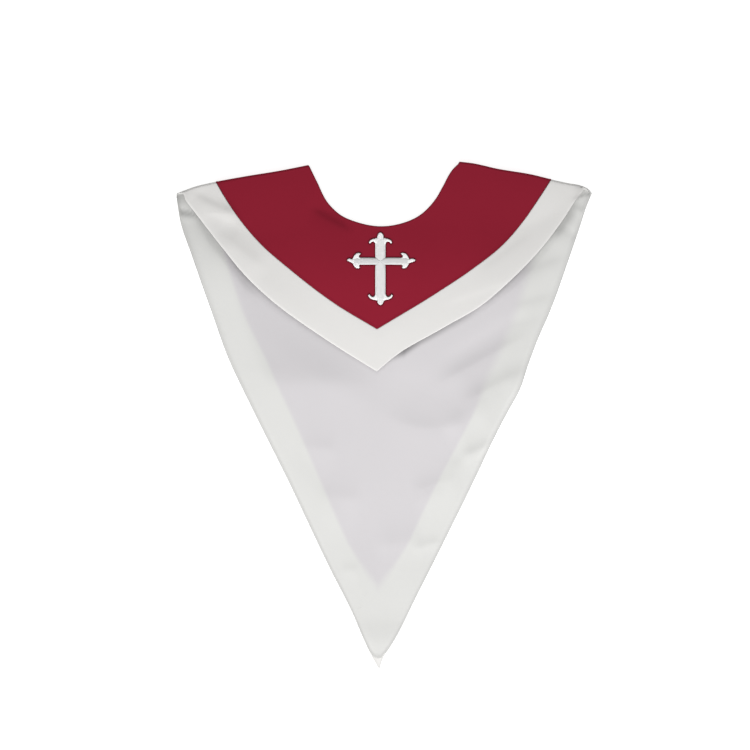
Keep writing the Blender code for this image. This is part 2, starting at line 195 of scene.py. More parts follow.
BORDER = 10 * MM

# The lining beside the front's lower edge in mm, columns x, height that it puffs up to, how
# far from the edge it gets there, depth and width of the painted shadow in the gap at the edge,
# and of the wider painted shade. The depths are shares of the light.
BESIDE_FRONT = np.array((
    (-258, 0.2, 6, 0.05, 2.0, 0.12, 20),
    (-245, 0.8, 12, 0.12, 3.0, 0.14, 18),
    (-232, 1.2, 14, 0.06, 3.0, 0.16, 20),
    (-215, 1.2, 14, 0.10, 3.0, 0.15, 14),
    (-200, 1.0, 14, 0.32, 4.4, 0.10, 14),
    (-185, 1.0, 14, 0.28, 3.2, 0.18, 15),
    (-165, 0.5, 10, 0.26, 3.4, 0.04, 10),
    (-135, 0.4, 9, 0.24, 3.0, 0.0, 9),
    (-110, 0.3, 8, 0.24, 3.0, 0.0, 9),
    (-50, 0.1, 8, 0.15, 3.0, 0.0, 6),
    (-9, 0.1, 6, 0.15, 2.4, 0.0, 6),
    (12, 0.3, 6, 0.28, 2.4, 0.0, 6),
    (27, 0.5, 6, 0.65, 5.4, 0.0, 6),
    (50, 0.4, 6, 0.40, 4.0, 0.0, 6),
    (100, 0.4, 8, 0.34, 4.0, 0.0, 8),
    (130, 0.4, 8, 0.18, 2.8, 0.0, 8),
    (155, 0.6, 10, 0.34, 3.6, 0.0, 10),
    (175, 0.8, 12, 0.25, 3.4, 0.13, 12),
    (195, 0.7, 12, 0.15, 3.0, 0.12, 18),
    (210, 0.7, 12, 0.20, 2.2, 0.06, 24),
    (225, 0.7, 12, 0.22, 3.8, 0.04, 20),
    (240, 0.6, 12, 0.05, 3.0, 0.05, 12),
    (252, 0.2, 6, 0.05, 3.0, 0.03, 8),
))
PUFF_HEIGHT, PUFF_REACH, GAP_SHADOW_DEPTH, GAP_SHADOW_WIDTH, SHADE_DEPTH, SHADE_WIDTH = range(1, 7)
PUFF_FALL = 34 * MM

# Painted shade beside the folds and in creases, and painted light where the share is negative,
# with the folds' columns, but the share of the colour that they take in place of the height
LINING_PAINTED_SHADES = np.array((
    (56, 40, 196, 116, 0, 0.035, 5, 12),
    (88, 16, 240, 85, 0, 0.065, 8, 5),
    (90, -4, 176, 40, 0, 0.04, 8, 8),
    (56, 64, 206, 150, 0, -0.05, 8, 6),
    (-110, 40, 120, 56, 0, -0.035, 22, 20),
    (-125, -40, -45, -150, 0, 0.04, 8, 12),
    (76, -74, 132, -40, 0, 0.06, 5, 5),
    (28, -112, 92, -92, 0, 0.05, 6, 6),
    (-60, -281, 46, -281, 0, 0.05, 8, 24),
    (222, 232, 262, 284, 0, 0.3, 8, 4),
    (170, 186, 250, 214, 0, 0.1, 4, 5),
    (166, 144, 232, 162, 0, 0.07, 3, 4),
    (158, 115, 218, 131, 0, 0.04, 3, 4),
))
FRONT_PAINTED_SHADES = np.array((
    (-262, 299, -182, 263, 0, 0.12, 3, 3),
    (70, 144, 180, 182, 0, -0.05, 4, 4),
    (118, 186, 204, 248, 0, 0.06, 4, 4),
    (-244, 264, -150, 190, 0, 0.035, 6, 8),
    (248, 285, 288, 305, 0, 0.3, 2, 2),
    (-262, 306, -196, 284, 0, -0.055, 9, 4),
    (-102, 279, -36, 243, 0, 0.2, 4, 3),
    (250, 306, 280, 298, 0, 0.14, 3, 3),
))
# Painted shade in the creases of the right corner, with the folds' columns
CORNER_CREASE_SHADES = np.array((
    (252, 290, 284, 298, 0, 0.3, 1.2, 1.2),
    (250, 306, 280, 298, 0, 0.14, 3, 3),
))
SHADE_ROUNDNESS = 3 * MM
CREASE_ROUNDNESS = 1 * MM

# Tones: shares of the light that places lose to painted shade, or gain as painted light, with
# their reach, or with where they start and the run over which they come in. The tip's share only
# makes the lining darker towards its tip. Two shares are left and right.
CORNER_DARKNESS = (0.16, 0.05)
CORNER_REACH = 13 * MM
SLOPE_DARKNESS = 0.35
SLOPE_STEP = 1 * MM
WHITE_SHOULDER_DARKNESS = 0.1
RED_SHOULDER_DARKNESS = 0.08
SHOULDER_DARK_START = 90 * MM
SHOULDER_DARK_RUN = 200 * MM
RED_PAINTED_LIGHT = 0.07
RED_PAINTED_LIGHT_TOP = 235 * MM
RED_PAINTED_LIGHT_RUN = 80 * MM
NECK_SHADE = (0.2, 1.4 * MM)
POINT_SHADE = (0.03, 14 * MM)
POINT_SHADE_HALF_LENGTH = 95 * MM
BORDER_SHADE = (0.12, 4 * MM)
TIP_DARKNESS = 0.055
TIP_DARK_START = -110 * MM
TIP_DARK_RUN = 110 * MM
STRIP_DARKNESS = (0.13, 0.03)
STRIP_DARK_START = 150 * MM
STRIP_DARK_RUN = 110 * MM
# Rims keep this share of their tone: painted shade on the rims
RIM_TONE = 0.7
FRONT_RIM_TONE = 1.0

# Painted shadows in the gaps beside what lies on a cloth, with distances in widths of the shadow
NO_GAP_SHADOW = 9.0
GAP_SHADOW_FALL = 0.37
CROSS_SHADOW_WIDTH = 1.6 * MM
CROSS_SHADOW_DEPTH = 0.66
CROSS_REACH = 75 * MM

# The see-through red near its point in mm, columns y, how far it ends inside its seam, and
# half the width over which it fades
SEE_THROUGH_END = (
    (-252, 22.0, 12.0),
    (-236, 14.0, 10.0),
    (-215, 8.0, 9.0),
    (-200, 4.5, 5.0),
    (-170, 0.0, 3.5),
)
# The red's seam allowance, pressed outwards on the left, shows through as well
SEAM_ALLOWANCE = 8 * MM
ALLOWANCE_START = 60 * MM
ALLOWANCE_RUN = 90 * MM
RIGHT_SHRINK = 5 * MM
RIGHT_SOFTNESS = 6 * MM
RIGHT_RUN = 60 * MM
# Painted shade of a loose fold on the left of the lining, with the folds' columns
LOOSE_FOLD_SHADE = np.array(((-300, 54, 30, 46, 0, 0.055, 300, 6),))
LOOSE_FOLD_SHADE_MARGIN = 20 * MM

# The embroidered cross in mm. Each arm has a direction, half the bar's width, the place where
# its hooks leave it, its length, half its bud's width, how far the bud stands to the left of
# the bar's middle, and its left and right ends.
CROSS_CENTRE = (-4.7, 205.6)
CROSS_ARMS = (
    ((1, 0), 4.6, 36.0, 46.2, 1.9, 1.3, ("upper hook", "lower hook")),
    ((0, 1), 6.6, 29.5, 38.2, 4.2, 0.0, ("top hook", "top hook")),
    ((-1, 0), 4.6, 35.0, 44.2, 1.9, -1.7, ("lower hook", "upper hook")),
    ((0, -1), 6.6, 50.7, 58.4, 4.3, 0.0, ("long hook", "long hook")),
)
ARM_ENDS = {
    "top hook": (
        (-7.4, 0.0), (-4.8, 0.8), (-3.1, 2.5), (-3.1, 4.4), (-5.0, 6.6), (-6.2, 7.4),
        (-4.3, 8.8), (-1.2, 6.9), (0.3, 3.8), (0.9, 0.6), (1.8, -2.4),
    ),
    "long hook": (
        (-7.7, 0.0), (-5.0, 0.9), (-3.3, 2.8), (-3.4, 5.0), (-5.6, 7.4), (-7.0, 8.3),
        (-5.0, 9.8), (-1.6, 7.8), (0.2, 4.2), (0.9, 0.6), (1.8, -2.5),
    ),
    "upper hook": (
        (-8.0, 0.0), (-6.4, 1.2), (-6.4, 3.2), (-9.0, 5.6), (-6.2, 6.8), (-3.0, 6.2),
        (-0.4, 3.6), (1.2, 0.2), (2.4, -1.9),
    ),
    "lower hook": (
        (-8.0, 0.0), (-6.6, 0.8), (-6.2, 2.2), (-7.4, 3.9), (-5.6, 4.9), (-3.0, 4.7),
        (-0.4, 2.6), (1.2, -0.2), (2.4, -3.4),
    ),
}
# Ends of the arms in mm: a bud's root lies from behind the hooks' place to in front of it, and
# is narrower than half the bar by one width on a level arm and another on an upright one
BUD_TURNS = np.radians((90, 60, 30, 0, -30, -60, -90))
BUD_ROUNDNESS = 1.3
BUD_ROOT = (-4.0, 2.0)
BUD_NARROWER = (1.9, 2.5)
HOOK_ROOT = -4.0
HOOK_START = (-7.7, -1.5)
HOOK_SLANT = 0.25
MITRE_OVERLAP = 0.7
# Painted light on the hooks and buds, and painted shade on the bars, more on the level ones, as
# satin catches the light by its stitches' direction
END_TONE = 1.03
UPRIGHT_TONE = 0.93
LEVEL_TONE = 0.8

# Stitches: their turn from the area's own, pitch, height of the ends and of the middle, and
# the thread's radius
UNDERLAY = (np.pi / 2, 0.9 * MM, 4.5 * MM, 5.05 * MM, 0.5 * MM)
SATIN = (0.0, 0.42 * MM, 4.55 * MM, 5.45 * MM, 0.27 * MM)
AREA_RISE = 0.02 * MM
UNDERLAY_INSET = 0.7 * MM
UNDERLAY_SHORTEST = 2.2 * MM
SHORTEST_STITCH = 0.3 * MM
CROSSING_PAIRS = 3
THREAD_INSET = 0.15 * MM
THREAD_LOOSENESS = 0.07 * MM
THREAD_UNEVENNESS = 0.035 * MM
THREAD_END = 0.55
THREAD_SIDES = 6
THREAD_BENDS = 9
ARCH_POWER = 6
STITCH_SEED = 7

# Woven looks: shares of weave, drift and slubs in the tone, scales and details of the noises,
# the strength and depth of the bumps of puckers and weave, and how far a wave texture of
# scale 1 goes before it repeats
WEAVE_SHARE, DRIFT_SHARE, SLUB_SHARE = 0.35, 0.45, 0.2
DRIFT_SCALE = 16.0
PUCKER_SCALE = 120.0
NOISE_DETAIL = 3.0
SLUB_STRETCH = (60.0, 1100.0, 1.0)
SLUB_DETAIL = 2.0
PUCKER_BUMP = (0.25, 0.3 * MM)
WEAVE_BUMP = (0.5, 0.06 * MM)
WAVE_LENGTH = 0.3142
# A colour mix's sockets by number, because its other kinds of input have the same names
MIX_COLOURS = (6, 7)
MIXED_COLOUR = 2

# Stage in metres: floor, lamps as name, place, size and power, world light and camera
FLOOR_SIZE = 9.0
FLOOR_LEVEL = -0.05 * MM
FLOOR_GREY = 0.5
FLOOR_GLOW = 0.75
LAMPS = (
    ("key", (-0.3, -3.6, 2.4), 2.0, 208.0),
    ("top", (0.0, -0.3, 2.7), 2.4, 7.0),
)
WORLD_LIGHT = 0.47
SENSOR_WIDTH = 36.0
LENS = 90.0
CAMERA_PLACE = (-0.012, 0.054, 2.504)


def fade(value):
    """A smooth step from 0 to 1 as the value goes from 0 to 1: 3v^2 - 2v^3."""
    held = np.clip(value, 0.0, 1.0)
    return held * held * (3 - 2 * held)


def unit(vectors):
    """Vectors of length 1."""
    return vectors / np.maximum(np.linalg.norm(vectors, axis=-1, keepdims=True), TINY)


def curve_through(points, places):
    """Points on a smooth curve through the given ones, at fractions of its length.

    Each stretch is a cubic whose end slopes are those of the points around it.
    """
    points = np.asarray(points)
    knots = np.append(0.0, np.cumsum(np.linalg.norm(np.diff(points, axis=0), axis=1)))
    slopes = np.gradient(points, knots, axis=0)
    along = np.linspace(0.0, knots[-1], CURVE_STEPS)
    first = np.clip(np.searchsorted(knots, along, side="right") - 1, 0, len(knots) - 2)
    span = np.diff(knots)[first][:, None]
    part = (along - knots[first])[:, None] / span
    line = (
        points[first] * (2 * part**3 - 3 * part**2 + 1)
        + slopes[first] * span * (part**3 - 2 * part**2 + part)
        + points[first + 1] * (3 * part**2 - 2 * part**3)
        + slopes[first + 1] * span * (part**3 - part**2)
    )
    length = np.append(0.0, np.cumsum(np.linalg.norm(np.diff(line, axis=0), axis=1)))
    places = np.asarray(places) * length[-1]
    return np.stack([np.interp(places, length, line[:, axis]) for axis in (0, 1)], axis=-1)


def offset(curve, distance):
    """The curve moved to its right-hand side, with mitred corners."""
    step = np.diff(curve, axis=0)
    normal = unit(np.stack([step[:, 1], -step[:, 0]], axis=-1))
    before = np.vstack([normal[:1], normal])
    after = np.vstack([normal, normal[-1:]])
    share = 1 + np.sum(before * after, axis=1)
    return curve + (before + after) / share[:, None] * np.reshape(distance, (-1, 1))


def shoulder(side, place):
    """Point, outward direction and inward normal on a shoulder line, place 0 neck to 1 corner."""
    rail = np.array(SHOULDERS[side]) * MM
    behind, point, ahead = [
        curve_through(rail, np.asarray(place) + step) for step in (-SLOPE_SPAN, 0, SLOPE_SPAN)
    ]
    along = unit(ahead - behind)
    turn = -1 if side == 0 else 1
    inward = np.stack([along[..., 1], -along[..., 0]], axis=-1) * turn
    return point - inward * SHOULDER_OUT, along, inward


def fold_radius(place):
    """Outer radius of the shoulder fold."""
    return FOLD_RADIUS_NECK + (FOLD_RADIUS_CORNER - FOLD_RADIUS_NECK) * place


def fold_rows(side, places, depth, on_front):
    """Rows of a quarter-round shoulder fold, from the seam to where the panel lies flat.

    A point at a depth below the outer face turns about the fold's axis, and its edge leans
    along the fold in proportion to the turn.
    """
    point, along, inward = shoulder(side, places)
    radius = fold_radius(places)
    corner = LEAN_FRONT_CORNER[side] if on_front else LEAN_BACK_CORNER
    lean = LEAN_NECK + (corner - LEAN_NECK) * places**LEAN_SHARPNESS
    turn = np.linspace(0, np.pi / 2, FOLD_STEPS + 1)[:, None]
    reach = radius - (radius - depth) * np.cos(turn)
    swing = (radius - depth) * np.sin(turn)
    plan = point + inward * reach[..., None] - along * (lean * turn / (np.pi / 2))[..., None]
    height = radius + GAP + swing if on_front else radius - swing
    return np.dstack([plan, height])


def spacing(stations=STATIONS):
    """Places of the stations on one half, from shoulder to point, closer towards the point."""
    even = np.linspace(0, 1, stations + 1)
    return even * (1 + CROWDING - CROWDING * even)


def edge_curve(table, places, on_front):
    """A panel's edge from the left shoulder round the point to the right shoulder."""
    halves = []
    for side in (0, 1):
        start = fold_rows(side, np.array([places[side]]), 0.0, on_front)[-1, 0, :2]
        halves.append(curve_through(np.vstack([start, np.array(table[side]) * MM]), spacing()))
    return np.vstack([halves[0], halves[1][-2::-1]])


def neck_curve(on_front):
    """The round neckline from shoulder to shoulder."""
    ends = [fold_rows(side, np.array([0.0]), 0.0, on_front)[-1, 0, :2] for side in (0, 1)]
    points = np.vstack([ends[0], np.array(NECK) * MM, ends[1]])
    places = np.concatenate([spacing() / 2, 1 - spacing()[-2::-1] / 2])
    return curve_through(points, places)


def relief(x, y, folds, roundness=FOLD_ROUNDNESS):
    """Sum of the folds: each is a rounded crease along a bowed line that fades at both ends.

    Across it, its height falls as e to the power of minus the distance over its fall-off.
    """
    total = np.zeros_like(x)
    for x0, y0, x1, y1, bow, height, above, below in folds * MM:
        run_x, run_y = x1 - x0, y1 - y0
        length = np.hypot(run_x, run_y)
        place = np.clip(((x - x0) * run_x + (y - y0) * run_y) / length**2, 0, 1)
        side = ((y - y0) * run_x - (x - x0) * run_y) / length - bow * 4 * place * (1 - place)
        away = np.hypot(side, roundness) - roundness
        ends = fade(FOLD_END_FADE * np.minimum(place, 1 - place))
        total += height * ends * np.exp(-away / np.where(side > 0, above, below))
    return total


# Finished edges, from the left shoulder to the right one
NECK_FRONT = offset(neck_curve(True), -NECK_OUT)
SEAM_FRONT = offset(edge_curve(FRONT_SEAM, SEAM_PLACES, True), -SEAM_IN)
EDGE_FRONT = edge_curve(FRONT_EDGE, (1.0, 1.0), True)
TUCK = fade(np.concatenate([spacing(), spacing()[-2::-1]]) / TUCK_SHARE) * BACK_NECK_INSET
NECK_BACK = offset(neck_curve(False), TUCK)
SEAM_BACK = edge_curve(BACK_SEAM, SEAM_PLACES, False)
EDGE_BACK = offset(
    edge_curve(BACK_EDGE, (1.0, 1.0), False), np.repeat(EDGE_OUT, (STATIONS, STATIONS + 1))
)


def lining_edge():
    """The lining's edge: just inside the border, its point rounded off.

    Its height over the border's point is the root of the sum of two powers, those of the
    border's own height and of the rounding.
    """
    edge = offset(EDGE_BACK, -LINING_INSET)
    point = edge[STATIONS, 1]
    rounded = edge.copy()
    powers = (edge[:, 1] - point) ** LINING_POINT_POWER + LINING_POINT_ROUNDING**LINING_POINT_POWER
    rounded[:, 1] = point + powers ** (1 / LINING_POINT_POWER)
    near = 1 - fade((edge[:, 1] - point) / LINING_POINT_REACH)
    edge = edge + (rounded - edge) * near[:, None]
    middle = edge[STATIONS, 0]
    edge[:STATIONS, 0] = np.minimum(edge[:STATIONS, 0], middle)
    edge[STATIONS:, 0] = np.maximum(edge[STATIONS:, 0], middle)
    return edge


def below_front(x, y):
    """How far a point lies outside the front's lower edge, negative under the front."""
    return (np.interp(x, EDGE_FRONT[:, 0], EDGE_FRONT[:, 1]) - y) * FRONT_EDGE_SLOPE


def beside_front(x, column):
    """A column of the table of the lining beside the front's edge, at places x."""
    return np.interp(x, BESIDE_FRONT[:, 0] * MM, BESIDE_FRONT[:, column])


def inside_of(edge, x, y):
    """How far a point lies inside a V-shaped edge of the back, level with it."""
    left, right = edge[: STATIONS + 1], edge[STATIONS:]
    from_left = x - np.interp(y, left[::-1, 1], left[::-1, 0])
    from_right = np.interp(y, right[:, 1], right[:, 0]) - x
    return np.minimum(from_left, from_right)


def lining_wave(x, y):
    """Height of the loose lining: its folds, held down by the front and along the border, and
    the puff beside the front's edge."""
    inside = inside_of(EDGE_BACK, x, y)
    away = below_front(x, y)
    reach = beside_front(x, PUFF_REACH) * MM
    puff = beside_front(x, PUFF_HEIGHT) * MM * fade(away / reach)
    puff *= np.exp(-np.maximum(away - reach, 0) / PUFF_FALL)
    folds = relief(x, y, LINING_FOLDS) * fade(inside / BORDER) * fade(away / REVEAL)
    corner = relief(x, y, CORNER_FOLDS, CORNER_FOLD_ROUNDNESS) * fade(away / CORNER_FOLDS_START)
    return folds + (puff + corner) * fade(inside / (BORDER / 2))


def front_lift(x, y):
    """Height of the front above where it would lie flat: the shoulder folds' height fades down
    the panel, the lower edge stands up towards the corners, and the folds are added.

    The first two are joined as the fourth root of the sum of their fourth powers.
    """
    steps = np.linspace(0, 1, RAIL_STEPS)
    rails = [curve_through(np.array(rail) * MM, steps) for rail in SHOULDERS]
    line = np.vstack([rails[0][::-1], rails[1]])
    place = fade((np.abs(x) - RISE_START) / RISE_RUN)
    top = 2 * fold_radius(place) + GAP - FRONT_TOP
    down = np.interp(x, line[:, 0], line[:, 1]) - y - fold_radius(place)
    rise = top * (1 - fade(down / RISE_LENGTH))
    outward = np.clip((np.abs(x) - EDGE_LIFT_START) / EDGE_LIFT_RUN, 0, 1)
    stand = EDGE_LIFT_POINT + (EDGE_LIFT_CORNER - EDGE_LIFT_POINT) * outward
    edge = stand * np.exp(-((below_front(x, y) / EDGE_LIFT_WIDTH) ** 2))
    free = fade(down / FOLDS_START)
    lift = (rise**LIFT_POWER + (edge * free) ** LIFT_POWER) ** (1 / LIFT_POWER)
    lift += relief(x, y, FRONT_FOLDS) * free
    return np.clip(lift, 0.0, top.max())


def places_across(width, inner_steps, outer_steps, middle):
    """Fractions across each row: fixed steps in mm from both edges, and even ones between."""
    inner = np.array(inner_steps) * MM / width[:, None]
    outer = 1 - np.array(outer_steps)[::-1] * MM / width[:, None]
    even = np.linspace(0, 1, middle + 2)[1:-1]
    start, end = inner[:, -1:], outer[:, :1]
    return np.hstack([inner, start + (end - start) * even, outer])


def bend_to_shoulders(plan, across, places, depth, on_front):
    """The rows of both shoulder folds; the plan's rows near them are bent to the folds' lines."""
    stations = len(plan) // 2
    near = (1 - fade(spacing(stations) / FOLD_SPREAD))[:, None, None]
    ends = []
    for side in (0, 1):
        last = 0 if side == 0 else -1
        start, end = places[side]
        rows = fold_rows(side, start + (end - start) * across[last], depth, on_front)
        bend = (rows[-1, :, :2] - plan[last])[None] * near
        if side == 0:
            plan[: stations + 1] += bend
        else:
            plan[stations:] += bend[::-1]
        ends.append(rows)
    return ends


def face(plan, ends, height):
    """A face's rows: the left shoulder fold, what lies between, and the right fold."""
    flat = np.dstack([plan, height])[1:-1]
    return np.concatenate([ends[0], flat, ends[1][::-1]])


def panel(inner, outer, places, across, depth, on_front):
    """Points of one face of a strip between two edges, at a depth below its outer face.

    Rows run from the left shoulder seam over the fold, round the point and up to the right
    shoulder seam. A row is the straight line inner * (1 - s) + outer * s, and near the
    shoulders it bends to the fold's own line.
    """
    spread = across[..., None]
    plan = inner[:, None] * (1 - spread) + outer[:, None] * spread
    ends = bend_to_shoulders(plan, across, places, depth, on_front)
    x, y = plan[..., 0], plan[..., 1]
    if on_front:
        height = FRONT_TOP + front_lift(x, y) - depth
    else:
        height = np.full_like(x, depth)
    return face(plan, ends, height)


def two_stage(first, second, third, staged, across, places, depth):
    """As panel(), with rows that bend where they cross the second edge, and clear of the
    outer back in its troughs. Staged places go from 0 over 1 at the second edge to 2."""
    at = np.minimum(staged, 1)[..., None]
    past = np.clip(staged - 1, 0, 1)[..., None]
    plan = first[:, None] * (1 - at) + second[:, None] * (at - past) + third[:, None] * past
    ends = bend_to_shoulders(plan, across, places, depth, False)
    x, y = plan[..., 0], plan[..., 1]
    height = np.maximum(depth + lining_wave(x, y), BACK_CLOTH + LINING_CLEARANCE)
    return face(plan, ends, height)


def rim(top, bottom, beside_top, beside_bottom):
    """A half-round edge between two faces: middle + outward * cos + up * sin, from +90 to -90."""
    middle = (top + bottom) / 2
    up = (top - bottom) / 2
    outward = unit((top - beside_top) + (bottom - beside_bottom))
    radius = np.linalg.norm(up, axis=-1, keepdims=True)
    return np.stack(
        [middle + outward * radius * np.cos(turn) + up * np.sin(turn) for turn in RIM_TURNS],
        axis=1,
    )


def bottom_columns(columns):
    """The columns that a cloth's bottom keeps, from the outer edge to the inner one."""
    return np.unique(np.linspace(columns - 1, 0, BOTTOM_COLUMNS).round().astype(int))[::-1]


def closed_cloth(name, top, bottom, finish, node):
    """A closed cloth shell: each row's section runs over the top, round the outer rim, back
    under the bottom, which has fewer columns, and round the inner rim."""
    rows, columns = top.shape[:2]
    outer = rim(top[:, -1], bottom[:, -1], top[:, -2], bottom[:, -2])
    inner = rim(top[:, 0], bottom[:, 0], top[:, 1], bottom[:, 1])[:, ::-1]
    loop = np.concatenate([top, outer, bottom[:, bottom_columns(columns)], inner], axis=1)
    count = loop.shape[1]
    index = np.arange(rows * count).reshape(rows, count)
    ahead = np.roll(index, -1, axis=1)
    sides = np.stack([index[:-1], ahead[:-1], ahead[1:], index[1:]], axis=-1).reshape(-1, 4)
    faces = sides.tolist() + [index[0, ::-1].tolist(), index[-1].tolist()]
    return add_mesh(name, loop.reshape(-1, 3), faces, finish, node)


def paint(made, name, values):
    """Writes a value for each point of a piece, which its material reads."""
    attribute = made.data.attributes.new(name, "FLOAT", "POINT")
    attribute.data.foreach_set("value", np.asarray(values, dtype=np.float32).reshape(-1))


def paint_cloth(made, tone, gap=NO_GAP_SHADOW, gap_shadow_depth=0.0, rim_tone=RIM_TONE):
    """Painted shading of a closed cloth and its gap shadow's distance and depth, given for its
    top.
    """
    paint(made, "tone", around(tone, rim_tone))
    paint(made, "gap", around(np.broadcast_to(gap, tone.shape)))
    paint(made, "gap_shadow_depth", around(np.broadcast_to(gap_shadow_depth, tone.shape)))


def around(values, rim_share=1.0):
    """Values of a closed cloth's top, repeated for the rims and the bottom of its loop."""
    outer, inner = [
        np.repeat(edge * rim_share, len(RIM_TURNS), axis=1)
        for edge in (values[:, -1:], values[:, :1])
    ]
    return np.hstack([values, outer, values[:, bottom_columns(values.shape[1])], inner])


def add_mesh(name, points, faces, finish, node):
    """A smooth mesh piece on the stole's body, in place of a node of the part."""
    mesh = bpy.data.meshes.new(name)
    mesh.from_pydata(points.tolist(), [], faces)
    mesh.shade_smooth()
    mesh.materials.append(finish)
    made = bpy.data.objects.new(name, mesh)
    bpy.context.scene.collection.objects.link(made)
    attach(made, "root")
    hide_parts(node)
    return made


class Nodes:
    """A material's node tree, with short calls to add and join nodes."""

    def __init__(self, name):
        self.material = bpy.data.materials.new(name)
        self.material.use_nodes = True
        self.tree = self.material.node_tree
        self.shader = self.tree.nodes["Principled BSDF"]

    def add(self, kind, values=(), **settings):
        """A node of the kind, with settings and (socket, value or output) pairs."""
        node = self.tree.nodes.new(kind)
        for key, value in settings.items():
            setattr(node, key, value)
        for socket, value in values:
            self.set(socket, value, node)
        return node

    def math(self, operation, first, second=0.0, third=0.0):
        """The output of a math node."""
        values = ((0, first), (1, second), (2, third))
        return self.add("ShaderNodeMath", values, operation=operation).outputs[0]

    def mix(self, factor, first, second, blend="MIX"):
        """The output of a colour mix."""
        values = (("Factor", factor), (MIX_COLOURS[0], first), (MIX_COLOURS[1], second))
        node = self.add("ShaderNodeMix", values, data_type="RGBA", blend_type=blend)
        return node.outputs[MIXED_COLOUR]

    def scale(self, colour, factor):
        """A colour multiplied by a number."""
        values = ((0, colour), ("Scale", factor))
        return self.add("ShaderNodeVectorMath", values, operation="SCALE").outputs[0]

    def painted(self, name):
        """The value of that name that is painted on the piece."""
        return self.add("ShaderNodeAttribute", attribute_name=name).outputs["Fac"]

    def noise(self, where, scale, detail=NOISE_DETAIL):
        """The output of a noise texture."""
        values = (("Vector", where), ("Scale", scale), ("Detail", detail))
        return self.add("ShaderNodeTexNoise", values).outputs["Fac"]

    def wave(self, where, scale, bands, *finer):
        """The output of a wave texture, with its finer (socket, value) pairs."""
        values = (("Vector", where), ("Scale", scale), *finer)
        return self.add("ShaderNodeTexWave", values, bands_direction=bands).outputs["Fac"]

    def bump(self, size, height, *below):
        """A normal bumped by a height, with the size's strength and depth, over one below."""
        values = [("Strength", size[0]), ("Distance", size[1]), ("Height", height)]
        values += [("Normal", normal) for normal in below]
        return self.add("ShaderNodeBump", values).outputs[0]

    def set(self, socket, value, node=None):
        """A value or an output on a socket of the node, or else of the shader."""
        target = (self.shader if node is None else node).inputs[socket]
        if isinstance(value, bpy.types.NodeSocket):
            self.tree.links.new(value, target)
        else:
            target.default_value = value


def rgb(*values):
    """An opaque colour."""
    return (*values, 1.0)


def weave(nodes, where, pitch, twill):
    """Height of a weave from 0 to 1: threads both ways, and twill lines over them."""
    scale = WAVE_LENGTH / pitch
    threads = [
        nodes.wave(where, scale, way, ("Distortion", 0.6), ("Detail Scale", 0.4)) for way in "XY"
    ]
    lines = nodes.wave(where, scale / 2, "DIAGONAL", ("Distortion", 0.4))
    grid = nodes.math("MULTIPLY", nodes.math("ADD", threads[0], threads[1]), (1 - twill) / 2)
    return nodes.math("MULTIPLY_ADD", lines, twill, grid)


def cloth(name, dark, light, roughness, specular, pitch, twill, under=None):
    """A woven cloth: tone drifts between two colours, with slubs, weave and fine puckers.

    The piece's own "tone", its painted light and shade, scales its colour. Its "gap" is the
    distance from what lies on it, in widths of the painted shadow in the gap beside that, which
    takes its painted depth, a share of its light. Its "over_red" mixes in the shade of the red
    below.
    """
    nodes = Nodes(name)
    where = nodes.add("ShaderNodeTexCoord").outputs["Object"]
    stretched = nodes.add("ShaderNodeMapping", (("Vector", where), ("Scale", SLUB_STRETCH)))
    threads = weave(nodes, where, pitch, twill)
    drift = nodes.math("MULTIPLY", nodes.noise(where, DRIFT_SCALE), DRIFT_SHARE)
    mottle = nodes.math("MULTIPLY_ADD", threads, WEAVE_SHARE, drift)
    slubs = nodes.noise(stretched.outputs[0], 1.0, SLUB_DETAIL)
    mottle = nodes.math("MULTIPLY_ADD", slubs, SLUB_SHARE, mottle)
    colour = nodes.mix(mottle, rgb(*dark), rgb(*light))
    # The painted shadow in the gap beside what lies on the cloth
    gap = nodes.painted("gap")
    gap_shadow = nodes.math("POWER", GAP_SHADOW_FALL, nodes.math("MULTIPLY", gap, gap))
    lost = nodes.math("MULTIPLY", gap_shadow, nodes.painted("gap_shadow_depth"))
    lit = nodes.math("SUBTRACT", 1.0, lost)
    colour = nodes.scale(colour, nodes.math("MULTIPLY", nodes.painted("tone"), lit))
    if under:
        shade = nodes.mix(nodes.painted("over_red"), rgb(1.0, 1.0, 1.0), rgb(*under))
        colour = nodes.mix(1.0, colour, shade, blend="MULTIPLY")
    nodes.set("Base Color", colour)
    nodes.set("Roughness", roughness)
    nodes.set("Specular IOR Level", specular)
    puckers = nodes.bump(PUCKER_BUMP, nodes.noise(where, PUCKER_SCALE))
    nodes.set("Normal", nodes.bump(WEAVE_BUMP, threads, puckers))
    return nodes.material


# Colours are linear: dark and light tone, then roughness, specular level, thread pitch and the
# weave's share of twill
RED = cloth("red_gabardine", (0.222, 0.0105, 0.0245), (0.262, 0.0130, 0.0305), 0.8, 0.07,
            0.55 * MM, 0.6)
WHITE = cloth("white_satin_cloth", (0.715, 0.704, 0.688), (0.765, 0.754, 0.738), 0.6, 0.2,
              0.5 * MM, 0.45)
LINING = cloth("white_lining", (0.665, 0.664, 0.647), (0.697, 0.696, 0.679), 0.55, 0.2,
               0.42 * MM, 0.2, under=(0.912, 0.885, 0.930))
THREAD = cloth("embroidery_thread", (0.82, 0.82, 0.82), (0.88, 0.88, 0.88), 0.4, 0.3,
               0.2 * MM, 0.2)


def width_of(inner, outer):
    """Length of each row from one edge to the other."""
    return np.linalg.norm(outer - inner, axis=1)


def with_folds(rows):
    """Rows of values, with the first and the last repeated along the shoulder folds."""
    return np.pad(rows, ((FOLD_STEPS, FOLD_STEPS), (0, 0)), mode="edge")


def raise_top(top, bottom, height):
    """The top moved outwards by a height along the cloth's own normal."""
    return top + unit(top - bottom) * height[..., None]


